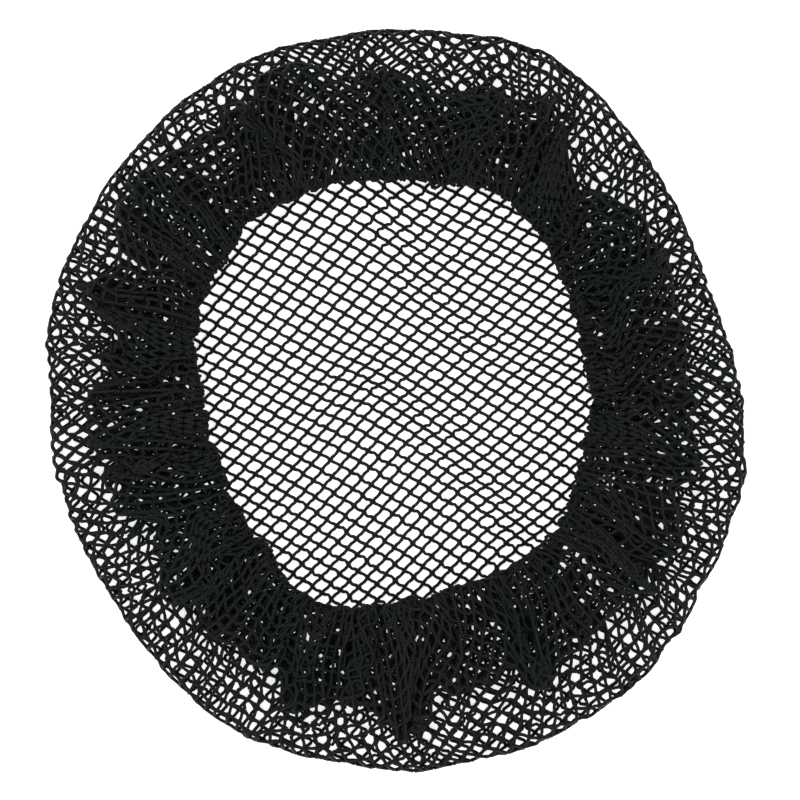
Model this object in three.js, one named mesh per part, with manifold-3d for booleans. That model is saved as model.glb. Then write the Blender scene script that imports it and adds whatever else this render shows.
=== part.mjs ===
// Hairnet: a shallow bag of coarse black knitted net, drawn together at its mouth on an elastic cord.
// It lies on a flat surface with the mouth up: the crown is flat on the surface, the side turns in at the
// outline, is tucked under itself, and ends in the gathered edge round the cord.
// Millimetres, +Z up. The origin is on the surface under the middle of the bag, +Y towards its long half.
import * as THREE from 'three';
import { mergeVertices } from 'three/addons/utils/BufferGeometryUtils.js';
import Module from 'manifold-3d';

const wasm = await Module();
wasm.setup();

// Sections round the bag, anticlockwise from +X, in degrees and in millimetres from the middle.
// outline is where the crown turns up into the side, flap the outer turn of the fold that lies on top,
// mouth the inner edge, and rise how much higher than usual the folds stand there.
const SECTIONS = [
  { angle: 0, outline: 118.2, flap: 103.0, mouth: 65.8, rise: 0.0 },
  { angle: 20, outline: 113.3, flap: 100.0, mouth: 65.6, rise: 0.4 },
  { angle: 45, outline: 119.7, flap: 101.0, mouth: 72.1, rise: 1.2 },
  { angle: 70, outline: 128.5, flap: 108.5, mouth: 77.4, rise: 0.8 },
  { angle: 95, outline: 125.9, flap: 111.0, mouth: 75.2, rise: 0.2 },
  { angle: 125, outline: 125.1, flap: 112.0, mouth: 78.4, rise: 0.6 },
  { angle: 150, outline: 123.3, flap: 109.0, mouth: 74.5, rise: 0.9 },
  { angle: 175, outline: 120.5, flap: 105.0, mouth: 66.4, rise: 0.3 },
  { angle: 210, outline: 118.1, flap: 98.0, mouth: 65.5, rise: 0.0 },
  { angle: 245, outline: 125.6, flap: 103.0, mouth: 73.2, rise: 0.5 },
  { angle: 275, outline: 125.9, flap: 107.5, mouth: 67.8, rise: 1.0 },
  { angle: 305, outline: 126.9, flap: 104.5, mouth: 68.9, rise: 0.5 },
  { angle: 340, outline: 121.1, flap: 106.0, mouth: 65.8, rise: 0.2 },
];

// Single pleats that stand up across the side, each a ridge that fades out to both sides
const PLEATS = [
  { angle: 57, halfWidth: 8, height: 2.0 },
  { angle: 88, halfWidth: 6, height: 1.4 },
  { angle: 152, halfWidth: 7, height: 1.2 },
  { angle: 215, halfWidth: 9, height: 1.0 },
  { angle: 275, halfWidth: 6, height: 2.0 },
  { angle: 330, halfWidth: 8, height: 1.2 },
];

// Net and its folds
const WALL = 1.2; // thickness of the net at its knots
const OUTER_TURN = 4.4; // radius of the turn from crown to side
const TUCK_TURN = 1.9; // radius of the inner turn, where the side doubles back under the flap
const FLAP_TURN = 2.3; // radius of the outer turn of the flap
const TUCK_INSET = 15; // from the mouth out to the inner turn
const EDGE_RISE = 1.4; // the gathered edge above the flap
const STATIONS = 72; // sections of the mesh round the bag
const SHOWN_STEPS = 4; // steps of the mesh along a turn that shows, and along a hidden one
const HIDDEN_STEPS = 3;

// Gathers: ruffles that grow from the outline to the mouth
const GATHERS = 24;
const SIDE_RUFFLE = 0.5;
const TUCK_RUFFLE = 0.8;
const FLAP_RUFFLE = 1.1;
const EDGE_RUFFLE = 0.8; // in and out at the mouth
const FLAP_SWAY = 1.0; // in and out at the flap's outer turn

// Elastic cord inside the gathered edge
const CORD_RADIUS = 1.2;
const CLEARANCE = 0.3;
const EDGE_TURN = CORD_RADIUS + CLEARANCE + WALL / 2;
const EDGE_TAIL = 3; // net that lies under the cord, past the turn
const CORD_SIDES = 8;

// Gaps of the net, drawn GAP_SCALE times their real size so that about a hundred of them cover the bag
const CELL_WIDE = 6.6;
const CELL_TALL = 5.46;
const CELL_TILT = THREE.MathUtils.degToRad(8.3);
const GAP_SCALE = 4.8;
const BAR = 5; // width of the net left between two gaps
const GAP_MARGIN = 1.5; // from a gap of the crown to the start of the outer turn
const GAP_RINGS = [
  { on: 'shoulder', count: 20, wide: 16, tall: 7, lean: 45 },
  { on: 'flap', count: 20, wide: 11, tall: 15, lean: 90 },
];
const GAP_INWARD = 1.7; // how far a ring's cutter reaches under the net and over it
const GAP_OUTWARD = 6;

const net = new THREE.MeshStandardMaterial({ color: 0x232524, roughness: 0.95, metalness: 0 });
const elastic = new THREE.MeshStandardMaterial({ color: 0x1d1f1e, roughness: 0.8, metalness: 0 });

const radians = THREE.MathUtils.degToRad;

// Value of a column of SECTIONS at any angle, on a smooth closed curve through the rows
function sectionValue(column, degrees) {
  const turn = ((degrees % 360) + 360) % 360;
  const rows = SECTIONS.length;
  let row = rows - 1;
  while (SECTIONS[row].angle > turn) row -= 1;
  const at = (step) => {
    const index = row + step;
    const wraps = Math.floor(index / rows);
    const entry = SECTIONS[index - wraps * rows];
    return { angle: entry.angle + 360 * wraps, value: entry[column] };
  };
  const [before, start, end, after] = [-1, 0, 1, 2].map(at);
  const slope = (from, to) => (to.value - from.value) / (to.angle - from.angle);
  const span = end.angle - start.angle;
  const t = (turn - start.angle) / span;
  const startPull = slope(before, end) * span;
  const endPull = slope(start, after) * span;
  return (2 * t ** 3 - 3 * t ** 2 + 1) * start.value
    + (t ** 3 - 2 * t ** 2 + t) * startPull
    + (3 * t ** 2 - 2 * t ** 3) * end.value
    + (t ** 3 - t ** 2) * endPull;
}

// Height of the pleats at an angle
function pleatHeight(degrees) {
  return PLEATS.reduce((height, pleat) => {
    const apart = ((degrees - pleat.angle + 540) % 360) - 180;
    return height + pleat.height * Math.exp(-((apart / pleat.halfWidth) ** 2));
  }, 0);
}

// Points on a turn of the net, in the half-plane of one section, from one angle to another in degrees
function turn(centreR, centreZ, radius, from, to, steps) {
  return Array.from({ length: steps + 1 }, (_, step) => {
    const angle = radians(from + (to - from) * step / steps);
    return { r: centreR + radius * Math.cos(angle), z: centreZ + radius * Math.sin(angle) };
  });
}

// The folds of the net at one angle: the levels and ends of each layer
function foldsAt(degrees) {
  const ruffle = Math.cos(radians(degrees * GATHERS));
  const lift = sectionValue('rise', degrees) + pleatHeight(degrees);
  const crownZ = WALL / 2;
  const outline = sectionValue('outline', degrees) - WALL / 2;
  const mouth = sectionValue('mouth', degrees) + WALL / 2 + EDGE_RUFFLE * ruffle;
  const flap = sectionValue('flap', degrees) + FLAP_SWAY * Math.sin(radians(degrees * GATHERS / 2));
  const sideZ = crownZ + 2 * OUTER_TURN + lift / 3;
  const tuckZ = sideZ + SIDE_RUFFLE * ruffle;
  const underZ = tuckZ + 2 * TUCK_TURN + (TUCK_RUFFLE - SIDE_RUFFLE) * ruffle;
  const flapZ = underZ + 2 * FLAP_TURN + (FLAP_RUFFLE - TUCK_RUFFLE) * ruffle + lift / 3;
  return { crownZ, outline, mouth, flap, sideZ, tuckZ, underZ, flapZ, edgeZ: flapZ + EDGE_RISE };
}

// Middle line of the net at one angle, from the crown's flat part to the free end under the cord
function middleLine(degrees) {
  const fold = foldsAt(degrees);
  const outerTurn = (fold.sideZ - fold.crownZ) / 2;
  const tuckTurn = (fold.underZ - fold.tuckZ) / 2;
  const flapTurn = (fold.flapZ - fold.underZ) / 2;
  const tuck = fold.mouth + TUCK_INSET;
  const cordR = fold.mouth + EDGE_TURN;
  const flapEnd = fold.flap - flapTurn;
  const across = (share) => ({
    r: flapEnd + (cordR - flapEnd) * share,
    z: fold.flapZ + EDGE_RISE * share,
  });
  return [
    ...turn(fold.outline - outerTurn, fold.crownZ + outerTurn, outerTurn, -90, 90, SHOWN_STEPS),
    { r: (fold.outline - outerTurn + tuck) / 2, z: (fold.sideZ + fold.tuckZ) / 2 },
    ...turn(tuck + tuckTurn, fold.tuckZ + tuckTurn, tuckTurn, -90, -270, HIDDEN_STEPS),
    ...turn(fold.flap - flapTurn, fold.underZ + flapTurn, flapTurn, -90, 90, SHOWN_STEPS),
    across(1 / 3),
    across(2 / 3),
    ...turn(cordR, fold.edgeZ - EDGE_TURN, EDGE_TURN, 90, 270, SHOWN_STEPS),
    { r: cordR + EDGE_TAIL, z: fold.edgeZ - 2 * EDGE_TURN },
  ];
}

// The closed line round the wall at one angle: out along one skin and back along the other.
// The pole at each end stands for the middle of the crown.
function wallLine(degrees) {
  const line = middleLine(degrees);
  const skin = (side) => line.map((point, index) => {
    const before = line[Math.max(index - 1, 0)];
    const after = line[Math.min(index + 1, line.length - 1)];
    const flat = index === 0;
    const dr = flat ? 1 : after.r - before.r;
    const dz = flat ? 0 : after.z - before.z;
    const length = Math.hypot(dr, dz);
    const offset = side * WALL / 2;
    return { r: point.r + offset * dz / length, z: point.z - offset * dr / length };
  });
  return [...skin(1), ...skin(-1).reverse()];
}

// A closed surface through rings of points, all with the same count. Poles close its two ends;
// with none, the last ring joins the first.
function loft(rings, poles) {
  const round = rings[0].length;
  const positions = rings.flat().flatMap((point) => [point.x, point.y, point.z]);
  const index = [];
  const bands = poles ? rings.length - 1 : rings.length;
  for (let ring = 0; ring < bands; ring += 1) {
    const low = ring * round;
    const high = ((ring + 1) % rings.length) * round;
    for (let step = 0; step < round; step += 1) {
      const next = (step + 1) % round;
      index.push(low + step, low + next, high + next, low + step, high + next, high + step);
    }
  }
  if (poles) {
    const first = positions.length / 3;
    poles.forEach((pole) => positions.push(pole.x, pole.y, pole.z));
    const lastRing = (rings.length - 1) * round;
    for (let step = 0; step < round; step += 1) {
      const next = (step + 1) % round;
      index.push(first, next, step, first + 1, lastRing + step, lastRing + next);
    }
  }
  const geometry = new THREE.BufferGeometry();
  geometry.setAttribute('position', new THREE.Float32BufferAttribute(positions, 3));
  geometry.setIndex(index);
  return geometry;
}

// A point at a radius, a height and an angle
function polar(r, z, degrees) {
  return new THREE.Vector3(r * Math.cos(radians(degrees)), r * Math.sin(radians(degrees)), z);
}

function bagSurface() {
  const angles = Array.from({ length: STATIONS }, (_, step) => step * 360 / STATIONS);
  const lines = angles.map(wallLine);
  const rings = lines[0].map((_, row) => lines.map((line, step) => (
    polar(line[row].r, line[row].z, angles[step])
  )));
  return loft(rings, [new THREE.Vector3(0, 0, 0), new THREE.Vector3(0, 0, WALL)]);
}

// A diamond-shaped cutter along +Z, from low to high
function diamondPrism(wide, tall, low, high) {
  const diamond = new THREE.Shape([
    new THREE.Vector2(wide / 2, 0),
    new THREE.Vector2(0, tall / 2),
    new THREE.Vector2(-wide / 2, 0),
    new THREE.Vector2(0, -tall / 2),
  ]);
  const prism = new THREE.ExtrudeGeometry(diamond, { depth: high - low, bevelEnabled: false });
  return prism.translate(0, 0, low);
}

function cornersOf(geometry) {
  const places = geometry.attributes.position;
  return Array.from({ length: places.count }, (_, index) => (
    new THREE.Vector2(places.getX(index), places.getY(index))
  ));
}

function isOnFlatCrown(point) {
  const degrees = THREE.MathUtils.radToDeg(point.angle());
  return point.length() < foldsAt(degrees).outline - OUTER_TURN - GAP_MARGIN;
}

// Cutters for the crown: a lattice of diamonds, all whole, with a crossing of the net at the origin
function crownGaps() {
  const wide = CELL_WIDE * GAP_SCALE;
  const tall = CELL_TALL * GAP_SCALE;
  const across = wide * tall / Math.hypot(wide, tall);
  const share = 1 - BAR / across;
  const reach = Math.ceil(2 * Math.max(...SECTIONS.map((row) => row.outline)) / tall);
  const cutters = [];
  for (let row = -reach; row <= reach; row += 1) {
    for (let column = -reach; column <= reach; column += 1) {
      const x = (column + (row % 2 === 0 ? 0.5 : 0)) * wide;
      const y = row * tall / 2;
      const centre = new THREE.Vector2(x, y).rotateAround(new THREE.Vector2(), CELL_TILT);
      const prism = diamondPrism(wide * share, tall * share, -WALL, 2 * WALL);
      prism.rotateZ(CELL_TILT).translate(centre.x, centre.y, 0);
      if (cornersOf(prism).every(isOnFlatCrown)) {
        cutters.push(prism);
      }
    }
  }
  return cutters;
}

// Where a ring of gaps lies at one angle: on the shoulder of the outer turn, or on top of the flap
const ringPlace = {
  shoulder(degrees, lean) {
    const fold = foldsAt(degrees);
    const radius = (fold.sideZ - fold.crownZ) / 2;
    return {
      r: fold.outline - radius + radius * Math.cos(radians(lean)),
      z: fold.crownZ + radius + radius * Math.sin(radians(lean)),
    };
  },
  flap(degrees) {
    const fold = foldsAt(degrees);
    return {
      r: (fold.flap - FLAP_TURN + fold.mouth + 2 * EDGE_TURN) / 2,
      z: fold.flapZ + EDGE_RISE / 2,
    };
  },
};

function ringGaps({ on, count, wide, tall, lean }) {
  return Array.from({ length: count }, (_, step) => {
    const degrees = (step + 0.5) * 360 / count;
    const place = ringPlace[on](degrees, lean);
    const prism = diamondPrism(wide, tall, -GAP_INWARD, GAP_OUTWARD);
    prism.rotateZ(Math.PI / 2).rotateY(radians(90 - lean)).rotateZ(radians(degrees));
    const at = polar(place.r, place.z, degrees);
    return prism.translate(at.x, at.y, at.z);
  });
}

function toSolid(geometry) {
  const bare = geometry.clone();
  bare.deleteAttribute('normal');
  bare.deleteAttribute('uv');
  const merged = mergeVertices(bare, 1e-4);
  return new wasm.Manifold(new wasm.Mesh({
    numProp: 3,
    vertProperties: new Float32Array(merged.attributes.position.array),
    triVerts: new Uint32Array(merged.index.array),
  }));
}

function toGeometry(solid) {
  const mesh = solid.getMesh();
  const geometry = new THREE.BufferGeometry();
  geometry.setAttribute('position', new THREE.BufferAttribute(mesh.vertProperties, 3));
  geometry.setIndex(new THREE.BufferAttribute(mesh.triVerts, 1));
  geometry.computeVertexNormals();
  return geometry;
}

function netBag() {
  const cutters = [...crownGaps(), ...GAP_RINGS.flatMap(ringGaps)];
  const pierced = cutters.reduce((bag, cutter) => bag.subtract(toSolid(cutter)), toSolid(bagSurface()));
  const mesh = new THREE.Mesh(toGeometry(pierced), net);
  mesh.name = 'net_bag';
  return mesh;
}

// The cord follows the turn of the gathered edge
function elasticCord() {
  const rings = Array.from({ length: STATIONS }, (_, step) => {
    const degrees = step * 360 / STATIONS;
    const fold = foldsAt(degrees);
    return Array.from({ length: CORD_SIDES }, (_unused, side) => {
      const angle = -radians(side * 360 / CORD_SIDES);
      return polar(
        fold.mouth + EDGE_TURN + CORD_RADIUS * Math.cos(angle),
        fold.edgeZ - EDGE_TURN + CORD_RADIUS * Math.sin(angle),
        degrees,
      );
    });
  });
  const geometry = loft(rings, null);
  geometry.computeVertexNormals();
  const mesh = new THREE.Mesh(geometry, elastic);
  mesh.name = 'elastic_cord';
  return mesh;
}

const hairnet = new THREE.Group();
hairnet.add(netBag(), elasticCord());

// The middle of the box that holds the bag goes over the origin
const box = new THREE.Box3().setFromObject(hairnet);
const middle = box.getCenter(new THREE.Vector3());
hairnet.position.set(-middle.x, -middle.y, -box.min.z);
hairnet.updateMatrixWorld(true);

export default hairnet;
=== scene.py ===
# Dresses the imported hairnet: the net's own threads, folded and gathered as the plain wall is, and the
# covered elastic cord inside the gathered edge. Lengths are in millimetres until a mesh is made.
import math

import bpy
import numpy as np
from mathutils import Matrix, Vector
from mathutils.bvhtree import BVHTree


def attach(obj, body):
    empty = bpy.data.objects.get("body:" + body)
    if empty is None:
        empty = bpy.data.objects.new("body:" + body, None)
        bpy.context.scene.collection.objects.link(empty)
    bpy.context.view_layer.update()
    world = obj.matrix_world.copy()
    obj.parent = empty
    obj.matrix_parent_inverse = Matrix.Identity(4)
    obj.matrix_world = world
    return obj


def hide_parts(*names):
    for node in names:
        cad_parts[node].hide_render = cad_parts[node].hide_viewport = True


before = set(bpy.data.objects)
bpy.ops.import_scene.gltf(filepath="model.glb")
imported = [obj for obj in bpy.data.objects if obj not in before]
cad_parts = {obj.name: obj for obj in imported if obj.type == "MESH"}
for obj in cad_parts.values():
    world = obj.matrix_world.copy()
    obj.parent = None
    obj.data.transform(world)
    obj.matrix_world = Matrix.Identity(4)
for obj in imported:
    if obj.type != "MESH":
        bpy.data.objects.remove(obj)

MM = 0.001
TURN = 2 * math.pi
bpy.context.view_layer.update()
SEED = 11
random = np.random.default_rng(SEED)

# The net laid flat: one cell's step across and along, where one knot lies, and the radius of the round
# that the net was cut to
CELL_ACROSS = np.array([6.53, 0.95])
CELL_ALONG = np.array([-0.78, 5.41])
FIRST_KNOT = np.array([-2.7, 0.5])
CUT_RADIUS = 250.0
GRID_MARGIN = 1.15  # how much further the table of knots reaches, as the lattice lies aslant
GRID_SPARE = 4  # and so many columns and rows more, so that knots past the edge can be asked for
STRAND = float(np.linalg.norm(CELL_ACROSS + CELL_ALONG)) / 2  # length from knot to knot

# Thread, and the short links where two threads are knitted together
THREAD_RADIUS = 0.615
LINK_RADIUS = 0.71
LINK_SIDE_SHORT = 0.28  # half the distance between the two threads in a short link
LINK_SIDE_LONG = 0.46
LINK_HALF_SHORT = 0.40  # half the length of the links that join two wide cells side by side
LINK_HALF_LONG = 0.62  # half the length of those above and below a wide cell
BOW = 0.20  # how far a strand bows out of a wide cell
BOW_WIDTH = 3.0  # strands that reach less far across than this bow out less
CURL = 0.9  # how far a slack strand curls out, as a share of what its length allows
MOST_CURL = 1.1  # and at most
CURL_UP = 0.6  # how far out of the net it curls, against along it
TAUT = 0.99  # a strand that reaches this share of its length doesn't curl
ARCH = 0.375  # square of a shallow arch's rise, against its span and its spare length
LINK_ROOM = 0.48  # most that a link's half width may be of the distance to the next column
LEAST_SPREAD = 0.3  # links shorten where the cells close, down to this share
SIDES = 5  # of a thread's tube
# Places of a strand's rings along its four control points, in each part of the net
FLAT_STEPS = np.array([0.0, 1.3, 2.7])
FOLD_STEPS = np.array([0.0, 1.0, 2.0, 3.0])
MOUTH_STEPS = np.array([0.0, 0.7, 1.3, 2.0, 2.7, 3.3])
FINE_REACH = 80.0  # radius of the crown that shows through the mouth
STRIPES = 6

# Heights of the bag's layers, as its plain wall has them
WALL = 1.2
CROWN_TOP = 2 * WALL  # knots below this lie in the flat crown
SWELL = 0.06  # how much thicker a thread is in places
SWELL_RATES = (1.7, 2.3, 3.1)  # how quickly that changes to the right, up the picture and in height
FLOOR_GAP = 0.01  # least distance from a thread to the floor
CROWN_Z = LINK_RADIUS * (1 + SWELL) + 2 * FLOOR_GAP
OUTLINE_PROBE_Z = 3.0  # height where the outline is measured
MOUTH_PROBE_Z = 17.7
PROBE_REACH = 200.0  # distance from the middle where the rays to the outline start
OUTER_TURN = 4.5  # radii of the turns at the outline, at the tuck and at the flap's fold
TUCK_TURN = 1.9
FLAP_TURN = 2.4
# Where the dense part of the net ends, seen from above: angle in degrees and distance from the middle
FLAP_EDGE = [
    (0, 103), (2, 98), (5, 101), (12, 101), (15, 99), (20, 101), (30, 102), (38, 105), (41, 100),
    (45, 99), (49, 95), (53, 99), (57, 104), (60, 110), (64, 115), (67, 111), (70, 108), (75, 110),
    (77, 106), (80, 108), (82, 106), (86, 109), (90, 112), (95, 113), (100, 111), (103, 116),
    (106, 121), (110, 122), (114, 119), (117, 114), (120, 118), (123, 110), (127, 112), (130, 111),
    (133, 116), (138, 115), (141, 120), (143, 113), (146, 117), (150, 108), (156, 106), (159, 112),
    (161, 116), (163, 109), (165, 100), (168, 98), (172, 104), (175, 97), (179, 108), (184, 108),
    (188, 106), (191, 103), (193, 94), (195, 105), (202, 105), (205, 98), (208, 92), (211, 99),
    (214, 96), (217, 100), (219, 107), (221, 103), (225, 98), (229, 102), (233, 102), (237, 98),
    (240, 103), (243, 103), (246, 98), (248, 101), (250, 113), (253, 113), (257, 107), (261, 104),
    (266, 108), (270, 110), (273, 116), (275, 108), (278, 101), (283, 104), (287, 106), (290, 101),
    (293, 98), (295, 106), (297, 113), (300, 106), (304, 106), (307, 110), (310, 103), (313, 106),
    (318, 101), (321, 105), (323, 112), (326, 97), (328, 103), (330, 111), (336, 111), (339, 107),
    (342, 100), (345, 108), (350, 107), (353, 105), (356, 101),
]
EDGE_BACK = 0.5  # how far inside those distances the flap's fold lies
EDGE_GAIN = 0.35  # extra depth of their turns, which the relaxed net follows only in part
EDGE_SMOOTH = 5  # waves in a turn of the smooth edge that the turns are measured from
FLAP_MARGIN = 2.5  # least distance from the flap's fold to the outline
EDGE_RISE = 1.4  # how much higher the gathered edge is than the flap
EDGE_TURN = 2.1  # radius of the net's turn round the cord
HEM = 13.0  # how far the net goes back out under itself after its turn round the cord
HEM_LEVEL = 0.4  # the share of it that lies level
HEM_LIFT = 0.3  # how far its end is higher
TUCK_INSET = 10.0  # from the mouth out to the inner turn
OUTLINE_OUT = 0.35  # how far the threads stand out from the plain wall's outline
MOUTH_IN = 1.0  # and in from its mouth
# How much further out than the plain wall the outline and the mouth lie in places: angle and distance
OUTLINE_BUMPS = [
    (0, 0), (20, -0.8), (40, -0.9), (55, 0.2), (60, 0.9), (70, 1.3), (80, -1.4), (90, 1.0), (100, 0.3),
    (111, 2.2), (122, 1.4), (135, 0.5), (150, 0.2), (160, 1.0), (170, 1.3), (180, -1.4), (190, 1.6),
    (206, 0.8), (220, 0.2), (250, 0), (260, -1.3), (269, 0), (273, 1.6), (278, -0.6), (290, -0.4),
    (300, -1.5), (315, 0), (333, -1.2), (350, 1.9), (354, 0.4),
]
MOUTH_BUMPS = [
    (0, 0), (10, -0.9), (20, 0), (40, -0.4), (50, 1.4), (60, 1.2), (70, 0.7), (80, -2.4), (90, 0.5),
    (115, 0), (121, -0.5), (130, 1.8), (140, -1.4), (150, 1.2), (170, 3.0), (180, 0.2), (190, 0.9),
    (200, -0.5), (210, 0.4), (222, -0.7), (230, -3.2), (238, 0.2), (250, 1.1), (260, 0.8), (270, 0.2),
    (280, -0.2), (290, -2.2), (300, -1.0), (320, 1.2), (335, -0.1), (350, -1.0),
]
OUTLINE_SMOOTH = 30  # waves in a turn that are kept of the outline's table
WALL_SMOOTH = 12  # and of the plain wall's outline and mouth
CORD_RADIUS = 1.2

# Unevenness round the bag: how large it is, and the fewest and the most waves in a turn
OUTLINE_UNEVEN = (0.15, 20, 50)
EDGE_UNEVEN = (0.8, 24, 60)
MOUTH_UNEVEN = (0.6, 24, 60)
TUCK_UNEVEN = (2.4, 5, 20)
SIDE_RISE_UNEVEN = (0.7, 4, 18)
TUCK_RISE_UNEVEN = (0.3, 6, 20)
FLAP_RISE_UNEVEN = (0.8, 5, 24)

FOLD_ANGLES = 360  # fold lines round the bag
FOLD_SAMPLES = 128  # points along each
ARC_STEPS = 8  # steps in each of its turns
WAVE_DRIFT = 2.2  # how far waves turn aside for each step of depth, in radians
WAVE_WEIGHTS = (0.5, 1.0)  # how high the single waves are against each other
WAVE_PEAK = 1.6  # standard deviations that come out as 1


def waves(angle, depth, low, high):
    """Smooth random values, mostly from -1 to 1, round the bag and with depth along its folds."""
    counts = np.arange(low, high + 1)
    phases = random.uniform(0, TURN, len(counts))
    drifts = random.normal(0, WAVE_DRIFT, len(counts))
    weights = random.uniform(*WAVE_WEIGHTS, len(counts))
    total = sum(w * np.sin(n * angle + p + d * depth)
                for n, p, d, w in zip(counts, phases, drifts, weights))
    return total * math.sqrt(2 / np.sum(weights ** 2)) / WAVE_PEAK


def uneven(kind, angle, depth=0, share=1.0):
    """Waves of one of the kinds of unevenness, or a share of them."""
    size, low, high = kind
    return size * share * waves(angle, depth, low, high)


def smoothstep(value, low, high):
    """0 up to one value and 1 from the other on, with a smooth rise between them."""
    t = np.clip((value - low) / (high - low), 0, 1)
    return t * t * (3 - 2 * t)


def unit(vectors):
    """Vectors of length 1 with the same directions."""
    return vectors / np.maximum(np.linalg.norm(vectors, axis=-1, keepdims=True), 1e-9)


# The outline and the mouth, measured on the plain wall

def low_pass(values, harmonics):
    """Values round the bag, with only so many waves in a turn kept."""
    spectrum = np.fft.rfft(values)
    spectrum[harmonics + 1:] = 0
    return np.fft.irfft(spectrum, len(values))


def measure_bag():
    """Radius of the outline and the mouth of the plain wall at each of FOLD_ANGLES angles."""
    tree = BVHTree.FromObject(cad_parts["net_bag"], bpy.context.evaluated_depsgraph_get())
    rows = []
    for angle in np.arange(FOLD_ANGLES) * TURN / FOLD_ANGLES:
        out = Vector((math.cos(angle), math.sin(angle), 0))
        inward = tree.ray_cast((out * PROBE_REACH + Vector((0, 0, OUTLINE_PROBE_Z))) * MM, -out)
        outward = tree.ray_cast(Vector((0, 0, MOUTH_PROBE_Z)) * MM, out)
        rows.append([PROBE_REACH - inward[3] / MM, outward[3] / MM])
    return [low_pass(column, WALL_SMOOTH) for column in np.array(rows).T]


def from_table(rows, angles):
    """Values of a table of angles in degrees and values, at other angles."""
    places, values = np.array(rows, float).T
    return np.interp(np.degrees(angles), places, values, period=360)


def arc(centre_r, centre_z, radius, start, end):
    """Points of a turn of the net, by distance from the middle and height."""
    angles = np.radians(np.linspace(start, end, ARC_STEPS + 1))
    return np.column_stack([centre_r + radius * np.cos(angles), centre_z + radius * np.sin(angles)])


def fold_line(outline, tuck, flap, mouth, side_z, under_z, flap_z):
    """Middle line of the net at one angle, from the flat crown's end to the hem's end, and its length."""
    outer = (side_z - CROWN_Z) / 2
    inner = (under_z - side_z) / 2
    top = (flap_z - under_z) / 2
    edge_z = flap_z + EDGE_RISE
    hem_z = edge_z - 2 * EDGE_TURN
    cord_r = mouth + EDGE_TURN
    line = np.vstack([
        arc(outline - outer, CROWN_Z + outer, outer, -90, 90),
        arc(tuck + inner, side_z + inner, inner, -90, -270),
        arc(flap - top, under_z + top, top, -90, 90),
        arc(cord_r, edge_z - EDGE_TURN, EDGE_TURN, 90, 270),
        [[cord_r + HEM * HEM_LEVEL, hem_z], [cord_r + HEM, hem_z + HEM_LIFT]],
    ])
    along = np.concatenate([[0], np.cumsum(np.linalg.norm(np.diff(line, axis=0), axis=1))])
    even = np.linspace(0, along[-1], FOLD_SAMPLES)
    points = np.column_stack([np.interp(even, along, line[:, 0]), np.interp(even, along, line[:, 1])])
    return points, along[-1]


def make_folds():
    """The fold lines all round, their lengths, where the flat crown ends, and where the cord lies."""
    angles = np.arange(FOLD_ANGLES) * TURN / FOLD_ANGLES
    outline, mouth = measure_bag()
    bumps = low_pass(from_table(OUTLINE_BUMPS, angles), OUTLINE_SMOOTH)
    outline = outline + OUTLINE_OUT + bumps + uneven(OUTLINE_UNEVEN, angles)
    edge = from_table(FLAP_EDGE, angles)
    turns = edge - low_pass(edge, EDGE_SMOOTH)
    flap = edge - EDGE_BACK + EDGE_GAIN * turns + uneven(EDGE_UNEVEN, angles)
    mouth = mouth - MOUTH_IN + from_table(MOUTH_BUMPS, angles) + uneven(MOUTH_UNEVEN, angles)
    flap = np.minimum(flap, outline - FLAP_MARGIN)
    tuck = mouth + TUCK_INSET + uneven(TUCK_UNEVEN, angles)
    side_z = CROWN_Z + 2 * OUTER_TURN + uneven(SIDE_RISE_UNEVEN, angles)
    under_z = side_z + 2 * TUCK_TURN + uneven(TUCK_RISE_UNEVEN, angles)
    flap_z = under_z + 2 * FLAP_TURN + uneven(FLAP_RISE_UNEVEN, angles)
    sections = zip(outline, tuck, flap, mouth, side_z, under_z, flap_z)
    lines, lengths = zip(*[fold_line(*section) for section in sections])
    crown_end = outline - (side_z - CROWN_Z) / 2
    cord = np.column_stack([mouth + EDGE_TURN, flap_z + EDGE_RISE - EDGE_TURN])
    return np.array(lines), np.array(lengths), crown_end, cord


# The lattice of the net

class Lattice:
    """Knots of the net by column and row; a knot's column and row are both even or both odd."""

    def __init__(self):
        reach = int(2 * GRID_MARGIN * CUT_RADIUS / np.linalg.norm(CELL_ALONG)) + GRID_SPARE
        every = np.arange(-reach, reach + 1)
        column, row = np.meshgrid(every, every, indexing="ij")
        flat = FIRST_KNOT + column[..., None] / 2 * CELL_ACROSS + row[..., None] / 2 * CELL_ALONG
        inside = ((column + row) % 2 == 0) & (np.hypot(flat[..., 0], flat[..., 1]) < CUT_RADIUS)
        self.reach = reach
        self.column, self.row = column[inside], row[inside]
        self.flat = flat[inside]
        self.grid = np.full(column.shape, -1)
        self.grid[inside] = np.arange(inside.sum())

    def neighbour(self, columns, rows):
        """For each knot, the index of the one so many columns and rows away, or -1."""
        return self.grid[self.column + columns + self.reach, self.row + rows + self.reach]


# The crown's pull out of a true lattice. Up and down from the middle the cells lie further left, most of
# all towards the upper left and the lower right
CROWN_SHEAR = 0.0009
# A band of net is pushed up the picture. It runs down to the right from beside the middle
BAND_PUSH = 3.0
BAND_Y = -13.0  # its height at the middle
BAND_COS, BAND_SIN = 0.72, 0.70  # the direction across it, to the upper right
BAND_ABOVE, BAND_BELOW = 13.0, 23.0  # its reach on that side and on the other
BAND_START = (-38.0, -10.0)  # where it starts and is complete, along it from the middle
# The right side lies lower than the left
RIGHT_X = 22.0  # where the right side starts
RIGHT_BLEND = 10.0  # how far that is blurred
RIGHT_LOWER = 0.8
TOP_LOWER = 1.5  # how much is added to it above, between two heights
TOP_BAND = (5.0, 25.0)
# Further up its start moves to the left, and the two sides part for each millimetre up
ABOVE_Y = 20.0
ABOVE_REACH = 20.0
ABOVE_LOWER = 0.02
ABOVE_HIGHER = 0.045
CROWN_FADE = (74.0, 112.0)  # distances from the middle where all this starts to fade and has faded
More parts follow.
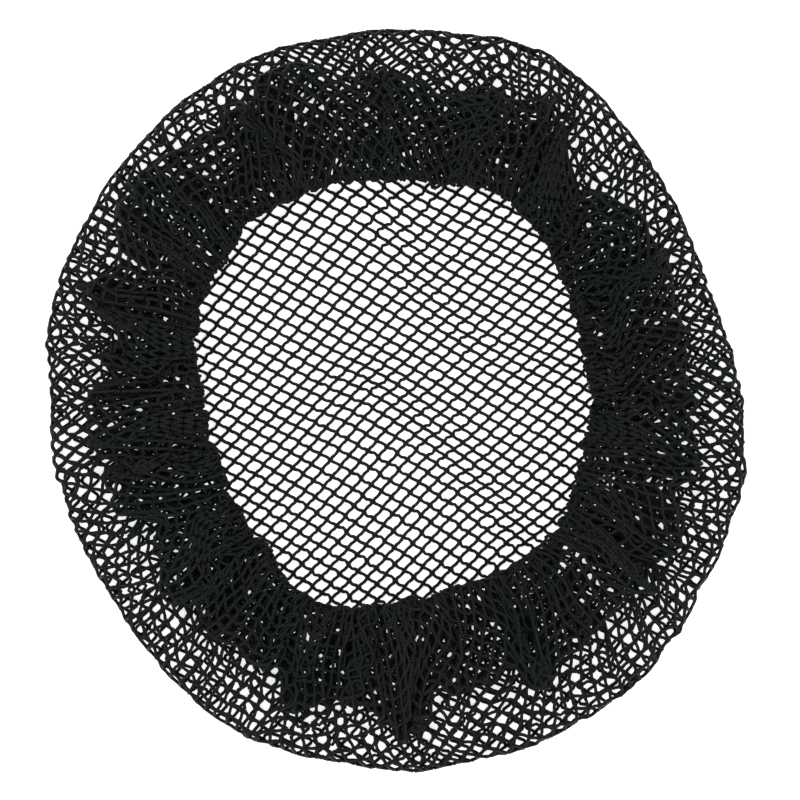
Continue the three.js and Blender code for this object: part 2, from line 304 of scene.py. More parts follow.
# Beyond the mouth the crown is uneven too
CROWN_UNEVEN = (0.8, 8, 34)
CROWN_UNEVEN_BAND = (70.0, 90.0)  # distances from the middle where that starts and is full
CROWN_DEPTH = 24.0  # distance outwards that counts as a step of depth


def crown_shift(flat):
    """How far the crown is pulled out of a true lattice at each place of the flat net."""
    x, y = flat.T
    shift_x = CROWN_SHEAR * y * (x - y)
    across = BAND_COS * x + BAND_SIN * (y - BAND_Y)
    down = BAND_SIN * x - BAND_COS * (y - BAND_Y)
    reach = np.where(across > 0, BAND_ABOVE, BAND_BELOW)
    band = np.exp(-(across / reach) ** 2) * smoothstep(down, *BAND_START)
    above = np.maximum(y - ABOVE_Y, 0)
    right = 0.5 + 0.5 * np.tanh((x - RIGHT_X * np.exp(-above / ABOVE_REACH)) / RIGHT_BLEND)
    lower = RIGHT_LOWER + TOP_LOWER * smoothstep(y, *TOP_BAND) + ABOVE_LOWER * above
    shift_y = BAND_PUSH * band - lower * right + ABOVE_HIGHER * above * (1 - right)
    rho, angle = np.hypot(x, y), np.arctan2(y, x)
    fade = 1 - smoothstep(rho, *CROWN_FADE)
    outside = smoothstep(rho, *CROWN_UNEVEN_BAND)
    drift = [uneven(CROWN_UNEVEN, angle, rho / CROWN_DEPTH, outside) for _ in range(2)]
    return np.column_stack([shift_x * fade + drift[0], shift_y * fade + drift[1]])


# Pleats, where the net folds back over itself to take up its fullness: the angle they start at, how far
# they turn aside on their way in, both in degrees, how far along the folds they start, and how deep they
# are against the fullness there
PLEATS = [
    (5, 5, 0.10, 1.0), (30, -6, 0.20, 0.8), (66, -9, 0.00, 1.5), (84, -6, 0.14, 0.9),
    (108, 3, 0.00, 1.3), (124, -5, 0.10, 1.0), (142, 3, 0.00, 1.1), (160, 12, 0.00, 1.3),
    (180, 6, 0.08, 1.0), (197, -4, 0.10, 0.9), (213, 8, 0.00, 1.3), (234, 4, 0.22, 0.8),
    (249, 9, 0.00, 1.3), (273, 1, 0.00, 1.6), (295, 4, 0.00, 1.2), (307, -3, 0.08, 0.9),
    (323, 3, 0.02, 1.2), (345, -8, 0.06, 1.1),
]
SLANT_REACH = 0.10  # how far along the folds a pleat has turned aside by two thirds
SMALL_PLEATS = 42
SMALL_SHARE = 0.6  # how much of the fullness the small pleats take up
SMALL_PLACE = 0.35  # how far they lie out of even places, as a share of their distance
SMALL_SLANT = 9.0  # and their slant, start and depth
SMALL_START = (0.03, 0.3)
SMALL_DEPTH = (0.6, 1.4)
PLEAT_GROWTH = 0.22  # how far along the folds a pleat grows to its full width
PLEAT_TURN = (0.75, 1.25)  # where the net turns back, counted in half widths from a pleat's middle
PLEAT_SLOPE = 1.4  # where the layers are furthest apart, counted so too
PLEAT_FLAT = (2.4, 4.2)  # and where the net starts to lie flat again and does
LEAST_HALF = 1e-4  # in radians, so that no pleat is without width
LEAST_TURN = 1e-3  # narrower pleats don't turn back
PLEAT_LIFT = 1.3  # half the height between the outer two of a pleat's three layers
MOST_LIFT = 1.2  # the same where pleats meet, against that of one pleat
LIFT_WIDTHS = (0.5, 3.5)  # widths of a pleat where its layers start to part and are full apart
WIDTH_RADIUS = 90.0  # distance from the middle where those are taken
CORD_LIFT = 0.5  # share of a pleat's height by which the net stands off the cord, where it goes round it
LEAN_TURN = 3  # one pleat in so many leans the other way
PLEAT_ANGLES = 2160
# How far the cells close across in the folds, at two distances from the middle
OPEN_OUT, OPEN_RADIUS = 0.95, 106.0
CLOSED_IN, CLOSED_RADIUS = 0.74, 84.0
CLOSED_START = 0.1  # how far along the folds that has set in fully
HEM_CLOSED = 0.36  # how far they close in the hem that lies under the mouth
HEM_BLEND = 3.0  # how far to both sides of the hem's start that sets in
RIM_CLOSED = (0.62, 0.35)  # and beside the mouth, at its top and bottom and at its left and right
RIM_TURN = (0.5, 0.9)  # cosines of the angles where the one starts to turn into the other and has
RIM_BAND = (40.0, 27.0)  # where that starts and is complete, from the net's end
HOOK_BAND = (22.0, 19.0)  # the same for the part that lies round the cord


def at_angle(rows, angle):
    """Values of a table with a row for each of evenly spaced angles, between its rows."""
    turn = (angle / TURN % 1) * len(rows)
    low = np.floor(turn).astype(int) % len(rows)
    part = (turn - np.floor(turn)).reshape(-1, *[1] * (rows.ndim - 1))
    return rows[low] * (1 - part) + rows[(low + 1) % len(rows)] * part


def make_pleats(folds):
    """How far round each piece of net is moved and how far out of its fold, by angle and place along it."""
    lines, lengths, crown_end, _ = folds
    angle = np.arange(PLEAT_ANGLES) * TURN / PLEAT_ANGLES
    along = np.linspace(0, 1, FOLD_SAMPLES)
    radius = at_angle(lines[..., 0], angle)
    end = at_angle(crown_end, angle)[:, None]
    remaining = (1 - along) * at_angle(lengths, angle)[:, None]
    closed = CLOSED_IN + (OPEN_OUT - CLOSED_IN) * smoothstep(radius, CLOSED_RADIUS, OPEN_RADIUS)
    closed = 1 + (closed - 1) * smoothstep(along, 0, CLOSED_START)
    rim = RIM_CLOSED[0] + (RIM_CLOSED[1] - RIM_CLOSED[0]) * smoothstep(np.abs(np.cos(angle)), *RIM_TURN)
    in_rim = 1 - smoothstep(remaining, RIM_BAND[1], RIM_BAND[0])
    closed = closed + (rim[:, None] - closed) * in_rim
    in_hem = 1 - smoothstep(remaining, HEM - HEM_BLEND, HEM + HEM_BLEND)
    closed = closed + (HEM_CLOSED - closed) * in_hem
    fullness = closed * (end + along * (CUT_RADIUS - end)) / radius
    folded_back = np.maximum(0, (1 - 1 / fullness) / 2)
    places = np.arange(SMALL_PLEATS) + random.uniform(-SMALL_PLACE, SMALL_PLACE, SMALL_PLEATS)
    small = np.column_stack([
        places * 360 / SMALL_PLEATS,
        random.normal(0, SMALL_SLANT, SMALL_PLEATS),
        random.uniform(*SMALL_START, SMALL_PLEATS),
        random.uniform(*SMALL_DEPTH, SMALL_PLEATS),
    ])
    pleats = []
    for rows, part in ((np.array(PLEATS, float), 1 - SMALL_SHARE), (small, SMALL_SHARE)):
        spacing = (np.roll(rows[:, 0], -1) - np.roll(rows[:, 0], 1)) % 360 / 2
        pleats += [(*row, part * space) for row, space in zip(rows, spacing)]
    direction = np.ones((PLEAT_ANGLES, FOLD_SAMPLES))
    lift = np.zeros((PLEAT_ANGLES, FOLD_SAMPLES))
    for number, (place, slant, start, depth, space) in enumerate(pleats):
        slanted = 1 - np.exp(-np.maximum(along - start, 0) / SLANT_REACH)
        centre = math.radians(place) + math.radians(slant) * slanted
        grown = smoothstep(along, start, start + PLEAT_GROWTH)
        share = at_angle(folded_back, centre[:1])[0] * depth * grown
        half = share * math.radians(space) / 2
        away = (angle[:, None] - centre + math.pi) % TURN - math.pi
        u = away / np.maximum(half, LEAST_HALF)
        size = np.abs(u)
        direction -= 2 * (1 - smoothstep(size, *PLEAT_TURN)) * (half > LEAST_TURN)
        shape = np.sign(u) * smoothstep(size, 0, PLEAT_SLOPE) * (1 - smoothstep(size, *PLEAT_FLAT))
        lean = 1 if number % LEAN_TURN else -1
        lift += lean * shape * smoothstep(half * 2 * WIDTH_RADIUS, *LIFT_WIDTHS)
    rate = np.maximum(direction, -1) * fullness
    theta = np.cumsum(rate, axis=0)
    theta *= TURN / theta[-1]
    shift = theta - angle[:, None]
    shift -= shift.mean(axis=0)
    in_hook = 1 - smoothstep(remaining, HOOK_BAND[1], HOOK_BAND[0])
    lift = PLEAT_LIFT * np.clip(lift, -MOST_LIFT, MOST_LIFT)
    return shift, lift * (1 - in_hook) - CORD_LIFT * np.abs(lift) * in_hook


# Ruffles, and finer ones towards the mouth: where along the folds they start and are full, and how uneven
# they make the net upwards, round the bag and outwards
RUFFLE_BAND = (0.08, 0.45)
RUFFLE_UP = (0.5, 14, 36)
RUFFLE_ROUND = (1.2, 16, 40)
RUFFLE_OUT = (1.0, 10, 36)
FINE_BAND = (0.55, 0.9)
FINE_UP = (0.4, 48, 84)
FINE_ROUND = (0.5, 40, 80)
EDGE_HELD = 0.85  # the share of them that is lost where the cord holds the edge
HELD_BAND = (0.74, 0.83)
# The side that lies over the crown is uneven round the bag and outwards
SIDE_UNEVEN = (1.3, 24, 64)
SIDE_START = (0.05, 0.14)
SIDE_END = (0.35, 0.5)


def fold_net(net, folds):
    """Places of the knots on the folded bag, and how far along its folds each one is."""
    lines, lengths, crown_end, _ = folds
    rho = np.hypot(*net.flat.T)
    angle = np.arctan2(net.flat[:, 1], net.flat[:, 0])
    end = at_angle(crown_end, angle)
    share = np.clip((rho - end) / (CUT_RADIUS - end), 0, 1)
    # The net stretches along the folds as its cells close, so more towards the mouth
    gain = 1 - (CUT_RADIUS - end) / at_angle(lengths, angle)
    along = share * (1 + gain * (share - 1))
    spot = along * (FOLD_SAMPLES - 1)
    first = np.minimum(spot.astype(int), FOLD_SAMPLES - 2)
    rest = spot - first
    every = np.arange(len(rho))

    def on_folds(rows, where):
        here = at_angle(rows, where)
        weight = rest.reshape(-1, *[1] * (rows.ndim - 2))
        return here[every, first] * (1 - weight) + here[every, first + 1] * weight

    shift, lift = make_pleats(folds)
    theta = angle + on_folds(shift, angle)
    offset = on_folds(lift, angle)
    r, z = on_folds(lines, theta).T
    slope = unit(np.gradient(lines, axis=1))
    slope_r, slope_z = on_folds(slope, theta).T
    r, z = r - offset * slope_z, z + offset * slope_r
    ruffle = smoothstep(along, *RUFFLE_BAND)
    fine = smoothstep(along, *FINE_BAND)
    held = 1 - EDGE_HELD * smoothstep(along, *HELD_BAND)
    rise = uneven(RUFFLE_UP, angle, 3 * along, ruffle) + uneven(FINE_UP, angle, 2 * along, fine)
    sway = uneven(RUFFLE_ROUND, angle, 3 * along, ruffle) + uneven(FINE_ROUND, angle, along, fine)
    z = z + held * rise
    sway = held * sway
    r = r + uneven(RUFFLE_OUT, angle, 4 * along, held * ruffle)
    on_side = smoothstep(along, *SIDE_START) * (1 - smoothstep(along, *SIDE_END))
    sway = sway + uneven(SIDE_UNEVEN, angle, 6 * along, on_side)
    r = r + uneven(SIDE_UNEVEN, angle, 6 * along, on_side)
    theta = theta + sway / r
    folded = np.column_stack([r * np.cos(theta), r * np.sin(theta), z])
    flat = np.column_stack([net.flat + crown_shift(net.flat), np.full(len(rho), CROWN_Z)])
    remaining = (1 - along) * at_angle(lengths, angle)
    return np.where((rho < end)[:, None], flat, folded), along, remaining


# Relaxation, in which the strands come to their own length

RELAX_STEPS = 240
HOLD = 0.012  # how much of the way back to its fold a knot goes at each step
STRAY = (4.0, 4.0, 1.5)  # how far from its fold a knot may end up
CRUMPLE = 0.5  # how far the knots are shaken out of place before it
SHORT_STRAND = 0.74  # the least distance between the ends of a strand, as a share of its length
CELL_WIDTHS = (2.1, 8.2)  # least and greatest width of a cell
CELL_HEIGHTS = (2.0, 8.2)
HEM_HELD = 2.0  # how much of the hem's start the cord holds


def springs(net):
    """Pairs of knots with the least and greatest distance apart, in groups where none comes twice."""
    strand = (SHORT_STRAND * STRAND, STRAND)
    kinds = [
        ((1, 1), strand, net.column % 2),
        ((-1, 1), strand, net.column % 2),
        ((2, 0), CELL_WIDTHS, net.column // 2 % 2),
        ((0, 2), CELL_HEIGHTS, net.row // 2 % 2),
    ]
    for step, (least, greatest), group in kinds:
        other = net.neighbour(*step)
        for value in (0, 1):
            first = np.flatnonzero((other >= 0) & (group == value))
            yield first, other[first], least, greatest


def relax(net, places, along, remaining):
    """Lets the strands come to their own length, with the crown and the gathered edge held."""
    target = places.copy()
    flat_crown = along <= 0
    held = flat_crown | ((remaining > HEM - HEM_HELD) & (remaining < HOOK_BAND[1]))
    free = np.where(held, 0.0, 1.0)[:, None]
    groups = list(springs(net))
    places = places + CRUMPLE * free * random.normal(0, 1, places.shape)
    stray = np.array(STRAY)
    for _ in range(RELAX_STEPS):
        for first, second, least, greatest in groups:
            gap = places[second] - places[first]
            length = np.linalg.norm(gap, axis=1, keepdims=True) + 1e-9
            move = 0.5 * (1 - np.clip(length, least, greatest) / length) * gap
            places[first] += move * free[first]
            places[second] -= move * free[second]
        places += HOLD * (target - places) * free
        places = np.clip(places, target - stray, target + stray)
        places[:, 2] = np.maximum(places[:, 2], CROWN_Z)
    return places


# Threads: each one runs up the net between two columns of knots and zigzags from one to the other

def knot_axes(net, places):
    """Across, along and out of the net at each knot, with the distance to the next column and row."""
    corners = {step: net.neighbour(*step) for step in ((1, 1), (1, -1), (-1, 1), (-1, -1))}

    def towards(steps):
        found = np.array([corners[step] >= 0 for step in steps])
        reach = np.array([places[corners[step]] - places for step in steps]) * found[..., None]
        return reach.sum(0) / np.maximum(found.sum(0), 1)[:, None], found.any(0)

    def axis(ahead, behind):
        (front, has_front), (back, has_back) = towards(ahead), towards(behind)
        ends = has_front.astype(int) + has_back
        return (front - back) / np.maximum(ends, 1)[:, None]

    across = axis([(1, 1), (1, -1)], [(-1, 1), (-1, -1)])
    along = axis([(1, 1), (-1, 1)], [(1, -1), (-1, -1)])
    out = unit(np.cross(across, along))
    wide, tall = np.linalg.norm(across, axis=1), np.linalg.norm(along, axis=1)
    return unit(across), unit(along), out, wide, tall


def thread_knots(net):
    """For each pair of neighbouring columns, the knots that their thread passes, from the lowest row up."""
    for column in range(net.column.min(), net.column.max()):
        rows = np.arange(-net.reach, net.reach + 1)
        columns = np.where((column + rows) % 2 == 0, column, column + 1)
        knots = net.grid[columns + net.reach, rows + net.reach]
        on_right = columns == column
        there = np.flatnonzero(knots >= 0)
        for run in np.split(there, np.flatnonzero(np.diff(there) > 1) + 1):
            if len(run) > 1:
                yield column, knots[run], on_right[run]


def spline(points, at):
    """A smooth line through points, at places counted in points."""
    padded = np.vstack([2 * points[0] - points[1], points, 2 * points[-1] - points[-2]])
    first = np.minimum(at.astype(int), len(points) - 2)
    t = (at - first)[:, None]
    a, b, c, d = (padded[first + k] for k in range(4))
    return b + t / 2 * (c - a + t * (2 * a - 5 * b + 4 * c - d + t * (3 * (b - c) + d - a)))


def thread_line(net, places, axes, knots, on_right, detail, curl):
    """Rings' centres along one thread, the way out of the net there, and how near a link each is."""
    across, along, out, wide, tall = (values[knots] for values in axes)
    spot = places[knots]
    long_link = net.column[knots] % 2 == 1
    side = np.where(long_link, LINK_SIDE_LONG, LINK_SIDE_SHORT)
    side = np.where(on_right, 1.0, -1.0) * np.minimum(side, LINK_ROOM * wide)
    spread = np.clip(tall / (np.linalg.norm(CELL_ALONG) / 2), LEAST_SPREAD, 1)
    half = np.where(long_link, LINK_HALF_LONG, LINK_HALF_SHORT) * spread
    middle = spot + across * side[:, None]
    above, below = middle + along * half[:, None], middle - along * half[:, None]
    lower, upper = spot[:-1], spot[1:]
    reach = upper - lower
    mean_across, mean_along = unit(across[:-1] + across[1:]), unit(along[:-1] + along[1:])
    part_across = np.sum(reach * mean_across, 1, keepdims=True)
    part_along = np.sum(reach * mean_along, 1, keepdims=True)
    # Out of the wide cell, which lies beside the lower knot where that knot's column is even
    leave = unit(part_along * mean_along - part_across * mean_across)
    leave = np.where(long_link[:-1, None], -leave, leave)
    bow = BOW * np.clip(np.abs(part_across) / BOW_WIDTH, 0, 1) * (spread[:-1] * spread[1:])[:, None]
    length = np.linalg.norm(reach, axis=1, keepdims=True)
    slack = np.maximum(0, TAUT * STRAND - length)
    bend = np.minimum(CURL * np.sqrt(ARCH * length * slack), MOST_CURL)
    bend_out = unit(out[:-1] + out[1:])
    straight = (above[:-1] + below[1:]) / 2
    centre = straight + leave * (bow + bend * curl[:, :1]) + bend_out * bend * curl[:, 1:]
    controls = np.empty((4 * len(reach) + 1, 3))
    controls[0::4], controls[1::4], controls[2::4], controls[3::4] = middle, above[:-1], centre, below[1:]
    ends = detail[knots[:-1]], detail[knots[1:]]
    wanted = np.where(ends[0] == ends[1], ends[0], 1)
    steps = [4 * k + (FLAT_STEPS, FOLD_STEPS, MOUTH_STEPS)[level] for k, level in enumerate(wanted)]
    at = np.concatenate(steps + [[4.0 * len(reach)]])
    outward = np.repeat(out, 4, axis=0)[:len(controls)]
    nearness = 0.5 + 0.5 * np.cos(at * TURN / 4)
    return spline(controls, at), unit(spline(outward, at)), nearness


def tube(centres, outward, radii):
    """Rings of SIDES points round a line, with the faces between them and a cap at each end."""
    tangent = unit(np.gradient(centres, axis=0))
    sideways = unit(np.cross(tangent, outward))
    upright = np.cross(sideways, tangent)
    angles = np.arange(SIDES) * TURN / SIDES
    cosines, sines = np.cos(angles)[None, :, None], np.sin(angles)[None, :, None]
    offset = cosines * sideways[:, None] + sines * upright[:, None]
    points = (centres[:, None] + offset * radii[:, None, None]).reshape(-1, 3)
    ring = np.arange(len(centres) - 1)[:, None] * SIDES
    here, there = np.arange(SIDES), (np.arange(SIDES) + 1) % SIDES
    after = ring + SIDES
    quads = np.stack([ring + here, ring + there, after + there, after + here], -1).reshape(-1, 4)
    caps = np.array([here[::-1], here + (len(centres) - 1) * SIDES])
    length = np.concatenate([[0], np.cumsum(np.linalg.norm(np.diff(centres, axis=0), axis=1))])
    low, high = length[:-1, None], length[1:, None]
    around = np.stack([here, here + 1, here + 1, here], -1) / SIDES
    quad_uv = np.stack([
        np.broadcast_to(around, (len(ring), SIDES, 4)),
        np.broadcast_to(np.stack([low, low, high, high], -1), (len(ring), SIDES, 4)),
    ], -1).reshape(-1, 2)
    cap_uv = np.repeat([[0.0, 0.0], [0.0, length[-1]]], SIDES, axis=0)
    return points, quads, caps, np.vstack([quad_uv, cap_uv])


def mesh_from_tubes(name, tubes):
    """One smooth mesh of many tubes, with the way round and along each thread as its UV map."""
    shift, points, corners, starts, uvs = 0, [], [], [], []
    count = 0
    for tube_points, quads, caps, uv in tubes:
        points.append(tube_points)
        corners += [(quads + shift).ravel(), (caps + shift).ravel()]
        starts += [count + np.arange(len(quads)) * 4, count + quads.size + np.arange(2) * SIDES]
        uvs.append(uv)
        shift += len(tube_points)
        count += quads.size + caps.size
    points, corners, starts, uvs = (np.concatenate(part) for part in (points, corners, starts, uvs))
    mesh = bpy.data.meshes.new(name)
    mesh.vertices.add(len(points))
    mesh.vertices.foreach_set("co", (points * MM).astype(np.float32).ravel())
    mesh.loops.add(len(corners))
    mesh.loops.foreach_set("vertex_index", corners.astype(np.int32))
    mesh.polygons.add(len(starts))
    mesh.polygons.foreach_set("loop_start", starts.astype(np.int32))
    mesh.polygons.foreach_set("use_smooth", np.ones(len(starts), bool))
    layer = mesh.uv_layers.new(name="Thread")
    layer.uv.foreach_set("vector", uvs.astype(np.float32).ravel())
    mesh.update(calc_edges=True)
    mesh.validate()
    piece = bpy.data.objects.new(name, mesh)
    bpy.context.scene.collection.objects.link(piece)
    return piece


def build_net(net, places, remaining, material):
    """The net as stripes of threads, each a piece, with its flat width and length and its thread area."""
    axes = knot_axes(net, places)
    flat_places = np.column_stack([net.flat, np.zeros(len(net.flat))])
    flat_axes = knot_axes(net, flat_places)
    in_mouth = (np.hypot(places[:, 0], places[:, 1]) < FINE_REACH) & (places[:, 2] < CROWN_TOP)
    is_flat = (places[:, 2] < CROWN_TOP) | (remaining < HEM)
    detail = np.where(in_mouth, 2, np.where(is_flat, 0, 1))
    threads = []
    for column, knots, on_right in thread_knots(net):
        turn = random.uniform(0, TURN, len(knots) - 1)
        curl = np.column_stack([np.cos(turn), CURL_UP * np.sin(turn)])
        centres, outward, nearness = thread_line(net, places, axes, knots, on_right, detail, curl)
        swell = 1 + SWELL * np.sin(sum(centres[:, axis] * rate for axis, rate in enumerate(SWELL_RATES)))
        radii = (THREAD_RADIUS + (LINK_RADIUS - THREAD_RADIUS) * nearness) * swell
        centres[:, 2] = np.maximum(centres[:, 2], radii + FLOOR_GAP)
        flat_line = thread_line(net, flat_places, flat_axes, knots, on_right, detail, curl)[0]
        flat_steps = np.linalg.norm(np.diff(flat_line, axis=0), axis=1)
        flat_surface = np.sum(flat_steps * (radii[1:] + radii[:-1])) * SIDES * math.sin(math.pi / SIDES)
        threads.append((column, len(knots) - 1, flat_surface, tube(centres, outward, radii)))
    sizes = np.cumsum([len(thread[-1][0]) for thread in threads])
    stripe = np.minimum(sizes * STRIPES // (sizes[-1] + 1), STRIPES - 1)
    pieces = []
    for number in range(STRIPES):
        members = [threads[k] for k in np.flatnonzero(stripe == number)]
        piece = mesh_from_tubes(f"net_threads_{number + 1}", [thread[-1] for thread in members])
        piece.data.materials.append(material)
        columns, rows, surfaces = (np.array(values) for values in list(zip(*members))[:3])
        wide = (columns.max() + 1 - columns.min()) / 2 * np.linalg.norm(CELL_ACROSS) * MM
        long = rows.max() / 2 * np.linalg.norm(CELL_ALONG) * MM
        # A net is mostly air, so its area is half of the surface that its threads have when it lies flat
        pieces.append((piece, (float(wide), float(long)), float(surfaces.sum() / 2 * MM ** 2)))
    return pieces


# Elastic cord, covered with yarn wound round it

CORD_WINDINGS = 400  # in the whole loop
CORD_STATIONS = 7 * CORD_WINDINGS
CORD_SIDES = 10
WINDING_DEPTH = 0.24
WINDING_SINK = 0.6  # how far the windings lie inside the cord's radius, against their depth
WINDING_UNEVEN = (0.8, 60, 110)  # in radians of a winding


def build_cord(folds, material):
    """The closed loop of elastic in the turn of the gathered edge, in relief where the yarn is wound."""
    radius, height = folds[3].T
    turn = np.arange(CORD_STATIONS) / CORD_STATIONS
    at = turn * FOLD_ANGLES
    wrapped = np.arange(FOLD_ANGLES + 1)
    r = np.interp(at, wrapped, np.append(radius, radius[0]))
    z = np.interp(at, wrapped, np.append(height, height[0]))
    around = np.arange(CORD_SIDES) * TURN / CORD_SIDES
    angle = TURN * turn[:, None]
    sway = uneven(WINDING_UNEVEN, angle)
    wave = np.sin(CORD_WINDINGS * TURN * turn[:, None] + around + sway)
    wound = WINDING_DEPTH * (wave - WINDING_SINK)
    ring_r = r[:, None] + (CORD_RADIUS + wound) * np.cos(around)
    ring_z = z[:, None] + (CORD_RADIUS + wound) * np.sin(around)
    points = np.stack([ring_r * np.cos(angle), ring_r * np.sin(angle), ring_z], -1).reshape(-1, 3)
    ring = np.arange(CORD_STATIONS)[:, None] * CORD_SIDES
    after = (ring + CORD_SIDES) % (CORD_STATIONS * CORD_SIDES)
    here, there = np.arange(CORD_SIDES), (np.arange(CORD_SIDES) + 1) % CORD_SIDES
    quads = np.stack([ring + here, after + here, after + there, ring + there], -1).reshape(-1, 4)
    mesh = bpy.data.meshes.new("elastic")
    mesh.from_pydata((points * MM).tolist(), [], quads.tolist())
    mesh.polygons.foreach_set("use_smooth", np.ones(len(quads), bool))
    mesh.materials.append(material)
    piece = bpy.data.objects.new("elastic", mesh)
    bpy.context.scene.collection.objects.link(piece)
    return piece


# Materials. Their noise has so many waves to the metre, and their relief is in metres

CAST_SCALE = 38
CAST_DETAIL = 2
CAST_GREEN = (0.0072, 0.0100, 0.0093)
CAST_OLIVE = (0.0098, 0.0104, 0.0092)
HAIR_SCALE = 4200
HAIR_DETAIL = 3
HAIR_DARK = (0.65, 0.65, 0.65)
HAIR_LIGHT = (1.5, 1.5, 1.5)
HAIR_RELIEF = 0.9  # relief of the hairs against that of the plies
PLIES = 3.0  # round a thread
PLY_TURNS = 0.3  # turns of a ply for each millimetre of thread
PLY_RELIEF = 0.00016
YARN_ROUGHNESS = 0.42
YARN_TINT = (0.88, 1.0, 0.93, 1)
COVER_SCALE = 2600
COVER_DARK = (0.005, 0.007, 0.0066)
COVER_LIGHT = (0.010, 0.0125, 0.0117)
COVER_RELIEF = 0.0001
COVER_ROUGHNESS = 0.7
YARN_SPECULAR = 0.1  # of the thread and of the cord's cover
FLOOR_COLOUR = (0.85, 0.85, 0.85, 1)
FLOOR_ROUGHNESS = 0.7
FLOOR_GLOW = 0.7


def new_material(name):
    """A new material with its nodes, its links and its shader."""
    material = bpy.data.materials.new(name)
    material.use_nodes = True
    nodes = material.node_tree.nodes
    return material, nodes, material.node_tree.links, nodes["Principled BSDF"]


def colour_ramp(nodes, stops):
    """A ramp between two colours, each with its place."""
    ramp = nodes.new("ShaderNodeValToRGB")
    for element, (position, colour) in zip(ramp.color_ramp.elements, stops):
        element.position = position
        element.color = (*colour, 1)
    return ramp


def noise(nodes, scale, detail=2):
    """A noise texture with so many waves to the metre."""
    texture = nodes.new("ShaderNodeTexNoise")
    texture.inputs["Scale"].default_value = scale
    texture.inputs["Detail"].default_value = detail
    return texture


def add_bump(nodes, links, shader, height, strength, distance):
    """Relief from a height, on a shader."""
    bump = nodes.new("ShaderNodeBump")
    bump.inputs["Strength"].default_value = strength
    bump.inputs["Distance"].default_value = distance
    links.new(height, bump.inputs["Height"])
    links.new(bump.outputs["Normal"], shader.inputs["Normal"])


def math_node(nodes, links, operation, *inputs):
    """A maths node fed with sockets or plain numbers; gives its output."""
    node = nodes.new("ShaderNodeMath")
    node.operation = operation
    for socket, value in zip(node.inputs, inputs):
        if isinstance(value, float):
            socket.default_value = value
        else:
            links.new(value, socket)
    return node.outputs[0]


def ply_pattern(nodes, links):
    """Plies twisted round the thread, from its own way round and along: 1 on a ply and 0 between two."""
    where = nodes.new("ShaderNodeUVMap")
    where.uv_map = "Thread"
    split = nodes.new("ShaderNodeSeparateXYZ")
    links.new(where.outputs["UV"], split.inputs[0])
    around = math_node(nodes, links, "MULTIPLY", split.outputs["X"], PLIES * TURN)
    turned = math_node(nodes, links, "MULTIPLY_ADD", split.outputs["Y"], PLIES * PLY_TURNS * TURN, around)
    wave = math_node(nodes, links, "COSINE", turned)
    return math_node(nodes, links, "MULTIPLY_ADD", wave, 0.5, 0.5)


def thread_material():
    """Black knitted yarn: hairs and plies in relief, and a faint cast that turns from green to olive."""
    material, nodes, links, shader = new_material("black_yarn")
    place = nodes.new("ShaderNodeTexCoord")
    cast = noise(nodes, CAST_SCALE, CAST_DETAIL)
    ramp = colour_ramp(nodes, [(0.35, CAST_GREEN), (0.65, CAST_OLIVE)])
    hairs = noise(nodes, HAIR_SCALE, HAIR_DETAIL)
    hair_ramp = colour_ramp(nodes, [(0.3, HAIR_DARK), (0.75, HAIR_LIGHT)])
    mix = nodes.new("ShaderNodeMix")
    mix.data_type = "RGBA"
    mix.blend_type = "MULTIPLY"
    mix.inputs["Factor"].default_value = 1.0
    links.new(place.outputs["Object"], cast.inputs["Vector"])
    links.new(place.outputs["Object"], hairs.inputs["Vector"])
    links.new(cast.outputs["Fac"], ramp.inputs["Fac"])
    links.new(hairs.outputs["Fac"], hair_ramp.inputs["Fac"])
    links.new(ramp.outputs["Color"], mix.inputs["A"])
    links.new(hair_ramp.outputs["Color"], mix.inputs["B"])
    links.new(mix.outputs["Result"], shader.inputs["Base Color"])
    plies = ply_pattern(nodes, links)
    relief = math_node(nodes, links, "MULTIPLY_ADD", hairs.outputs["Fac"], HAIR_RELIEF, plies)
    add_bump(nodes, links, shader, relief, 1.0, PLY_RELIEF)
    shader.inputs["Roughness"].default_value = YARN_ROUGHNESS
    shader.inputs["Specular IOR Level"].default_value = YARN_SPECULAR
    shader.inputs["Specular Tint"].default_value = YARN_TINT
    return material


def cord_material():
    """Elastic cord's wound covering."""
    material, nodes, links, shader = new_material("covered_elastic")
    place = nodes.new("ShaderNodeTexCoord")
    fibres = noise(nodes, COVER_SCALE)
    ramp = colour_ramp(nodes, [(0.3, COVER_DARK), (0.7, COVER_LIGHT)])
    links.new(place.outputs["Object"], fibres.inputs["Vector"])
    links.new(fibres.outputs["Fac"], ramp.inputs["Fac"])
    links.new(ramp.outputs["Color"], shader.inputs["Base Color"])
    add_bump(nodes, links, shader, fibres.outputs["Fac"], 0.5, COVER_RELIEF)
    shader.inputs["Roughness"].default_value = COVER_ROUGHNESS
    shader.inputs["Specular IOR Level"].default_value = YARN_SPECULAR
    return material


def floor_material():
    """Plain pale floor that glows a little, so that it looks as white as the photograph's."""
    material, _, _, shader = new_material("pale_floor")
    shader.inputs["Base Color"].default_value = FLOOR_COLOUR
    shader.inputs["Roughness"].default_value = FLOOR_ROUGHNESS
    shader.inputs["Emission Color"].default_value = (1, 1, 1, 1)
    shader.inputs["Emission Strength"].default_value = FLOOR_GLOW
    return material


# Floor, light and camera, in metres

FLOOR_HALF = 1.5
CAMERA_HEIGHT = 1.3
VIEW_WIDTH = 0.272  # what the photograph shows, at the height of the outline
VIEW_CENTRE = (0.001, -0.0002)
OUTLINE_Z = 0.005
SENSOR_WIDTH = 36.0  # in millimetres, as Blender takes it
SKY_STRENGTH = 0.5
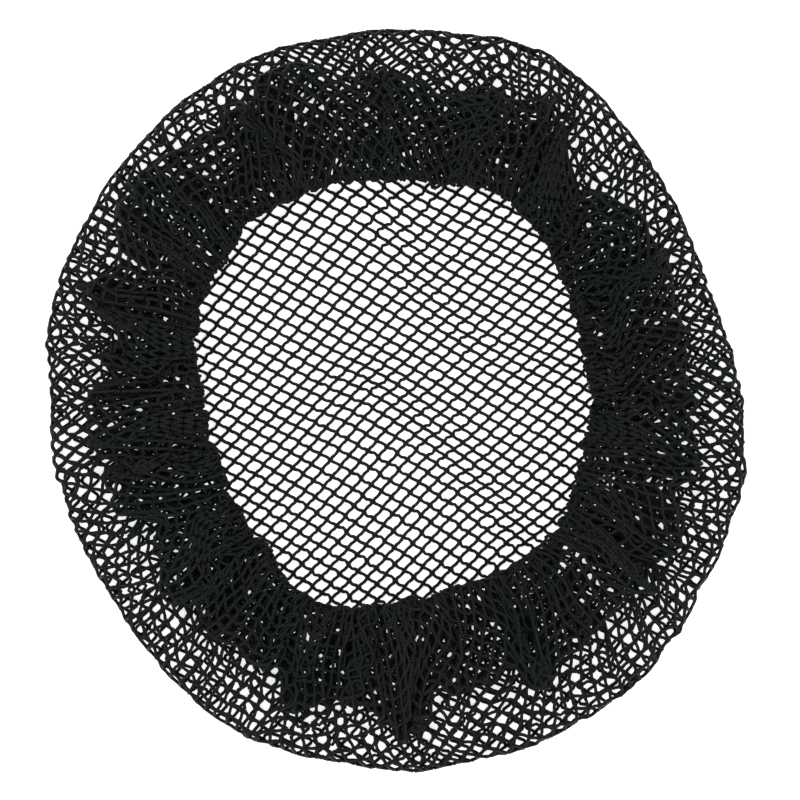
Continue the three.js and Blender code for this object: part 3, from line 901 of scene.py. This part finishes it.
# Lamps: name, place, size and power in watts
LAMPS = [
    ("key", (-0.35, 0.45, 1.2), 0.6, 8),
    ("fill", (0.6, -0.15, 1.1), 0.7, 4.5),
    ("back", (-0.2, -0.7, 1.0), 0.7, 3),
]


def build_stage():
    mesh = bpy.data.meshes.new("floor")
    corners = [(x * FLOOR_HALF, y * FLOOR_HALF, 0) for x, y in ((-1, -1), (1, -1), (1, 1), (-1, 1))]
    mesh.from_pydata(corners, [], [(0, 1, 2, 3)])
    mesh.materials.append(floor_material())
    floor = bpy.data.objects.new("floor", mesh)
    bpy.context.scene.collection.objects.link(floor)


def add_area_light(name, place, size, power):
    data = bpy.data.lights.new(name, "AREA")
    data.size = size
    data.energy = power
    lamp = bpy.data.objects.new(name, data)
    lamp.location = place
    lamp.rotation_euler = (-Vector(place)).to_track_quat("-Z", "Y").to_euler()
    bpy.context.scene.collection.objects.link(lamp)


def build_light():
    world = bpy.data.worlds.new("studio")
    world.use_nodes = True
    background = world.node_tree.nodes["Background"]
    background.inputs["Color"].default_value = (1, 1, 1, 1)
    background.inputs["Strength"].default_value = SKY_STRENGTH
    bpy.context.scene.world = world
    for lamp in LAMPS:
        add_area_light(*lamp)
    bpy.context.scene.view_settings.view_transform = "Standard"


def build_camera():
    data = bpy.data.cameras.new("camera")
    data.sensor_width = SENSOR_WIDTH
    data.lens = data.sensor_width * (CAMERA_HEIGHT - OUTLINE_Z) / VIEW_WIDTH
    camera = bpy.data.objects.new("camera", data)
    camera.location = (*VIEW_CENTRE, CAMERA_HEIGHT)
    bpy.context.scene.collection.objects.link(camera)
    bpy.context.scene.camera = camera


def main():
    build_camera()
    folds = make_folds()
    net = Lattice()
    places, along, remaining = fold_net(net, folds)
    places = relax(net, places, along, remaining)
    for piece, flat, thread_area in build_net(net, places, remaining, thread_material()):
        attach(piece, "root")
        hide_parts("net_bag")
    cord = build_cord(folds, cord_material())
    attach(cord, "root")
    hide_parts("elastic_cord")
    build_stage()
    build_light()


main()
